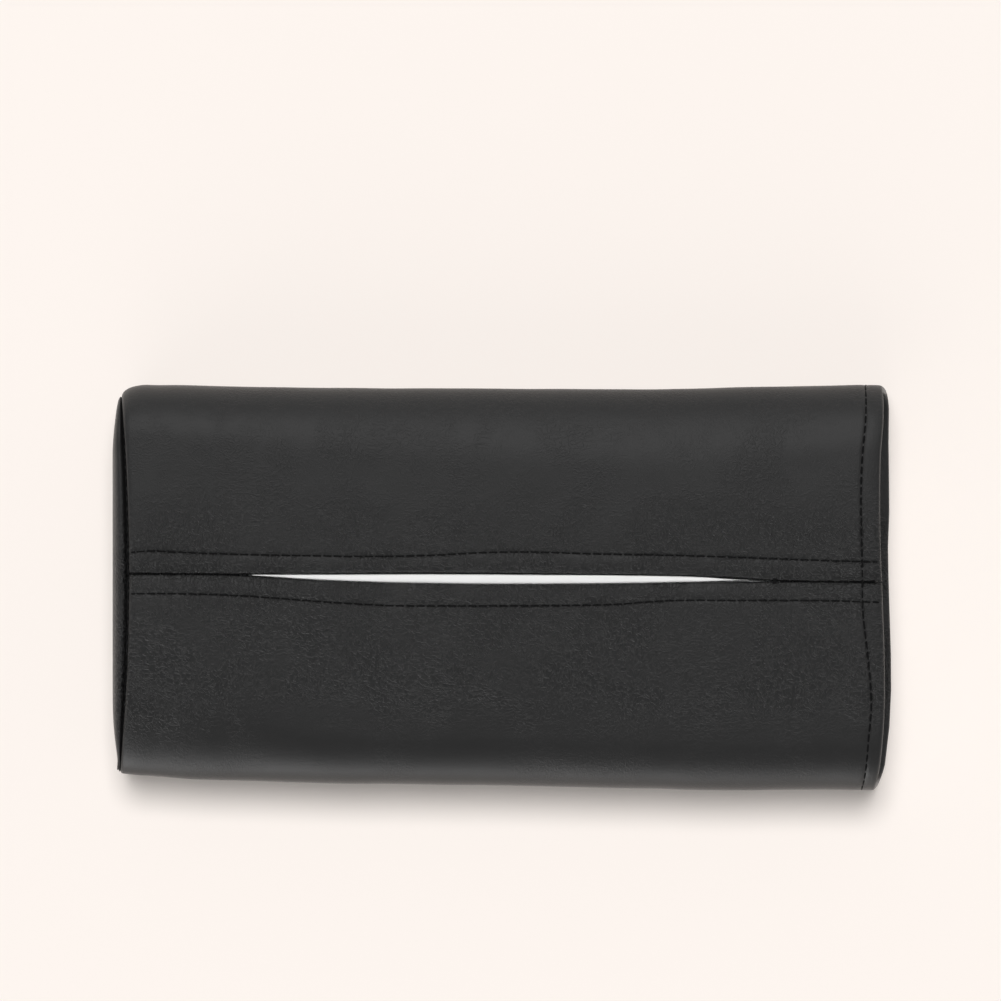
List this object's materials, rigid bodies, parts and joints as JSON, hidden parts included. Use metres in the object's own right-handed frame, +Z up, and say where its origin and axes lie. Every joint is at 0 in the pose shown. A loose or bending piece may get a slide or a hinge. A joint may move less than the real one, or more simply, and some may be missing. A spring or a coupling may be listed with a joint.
{
  "type": "tissue box holder",
  "caption": "Soft leather sleeve for a carton of tissues: drawn through a slit along the top, carton slides in at an open hemmed end.",
  "frame": {"origin": "middle of the footprint, on the surface that the holder stands on", "axes": "+X along the length towards the open mouth, +Y across towards the rear lip of the slit, +Z up"},
  "size_m": [0.24, 0.1248, 0.0566],
  "materials": {
    "leather": "soft black grained leather-look, semi-matt",
    "thread": "black sewing thread",
    "card": "white carton board, matt",
    "film": "thin clear film",
    "paper": "soft white tissue"
  },
  "bodies": {
    "holder": {"leather_sleeve": "leather", "left_end_panel": "leather", "rear_topstitch": "thread", "front_topstitch": "thread", "mouth_topstitch": "thread", "end_seam_thread": "thread", "centre_seam_left": "thread", "centre_seam_right": "thread", "slit_bartack_left": "thread", "slit_bartack_right": "thread"},
    "refill": {"refill_carton": "card", "window_film": "film", "tissue_stack": "paper"},
    "leading_tissue": {"leading_tissue": "paper"}
  },
  "joints": [
    {"name": "refill_slide", "type": "slide", "parent": "holder", "child": "refill", "axis": [1, 0, 0], "range_m": [0, 0.235]},
    {"name": "tissue_pull", "type": "slide", "parent": "refill", "child": "leading_tissue", "axis": [0, 0, 1], "range_m": [0, 0.04]}
  ]
}
